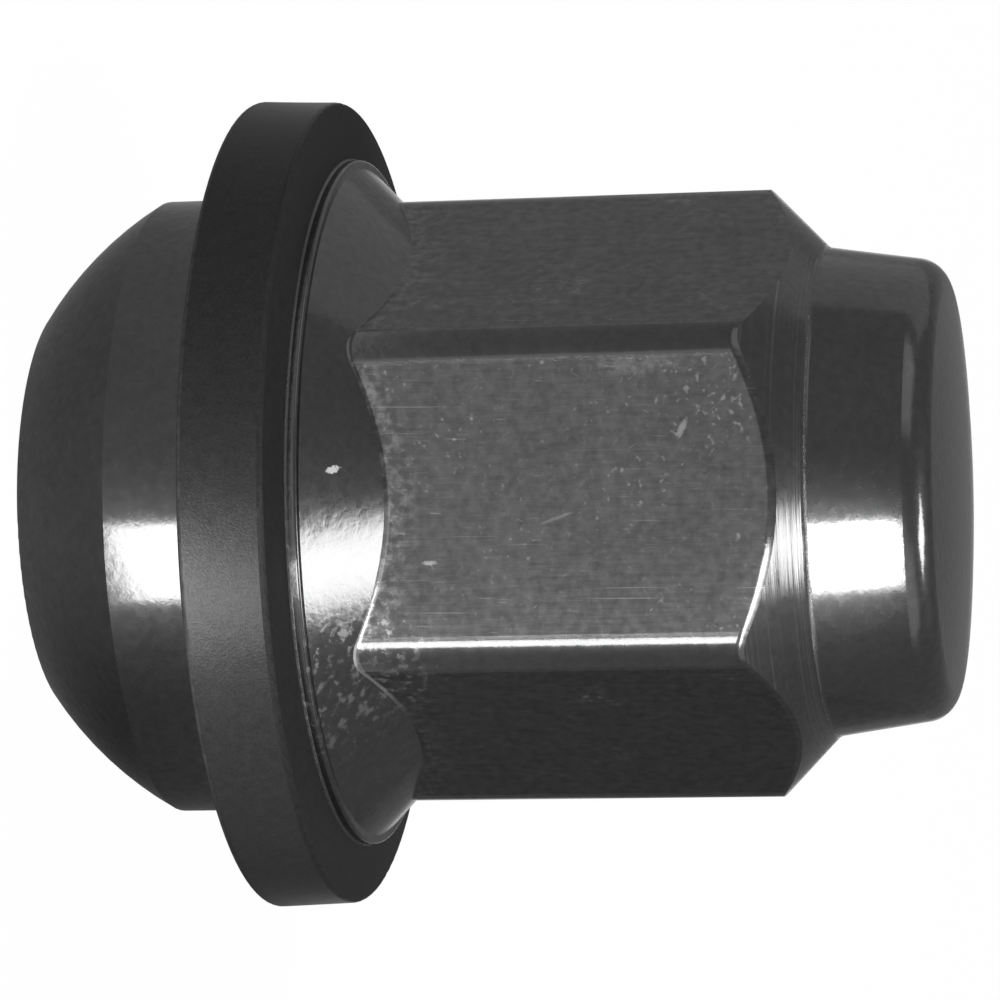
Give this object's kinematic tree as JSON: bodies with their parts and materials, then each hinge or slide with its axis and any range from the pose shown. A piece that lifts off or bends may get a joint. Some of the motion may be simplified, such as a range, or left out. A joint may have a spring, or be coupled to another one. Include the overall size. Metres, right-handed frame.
{
  "type": "lug nut",
  "caption": "Closed-end lug nut with a ball seat, a wide flange with a rough forged rim, a hex drive and a domed cap, in dark polished plating.",
  "frame": {"origin": "centre of the flat seat end, where the stud enters", "axes": "+Z along the stud axis from the seat end to the cap; a flat of the hex faces -Y and another faces +Y"},
  "size_m": [0.032, 0.032, 0.036],
  "materials": {
    "plated_steel": "dark polished plating, brushed on the hex, matte as forged on the flange rim"
  },
  "bodies": {
    "root": {"lug_nut": "plated_steel"}
  },
  "joints": []
}
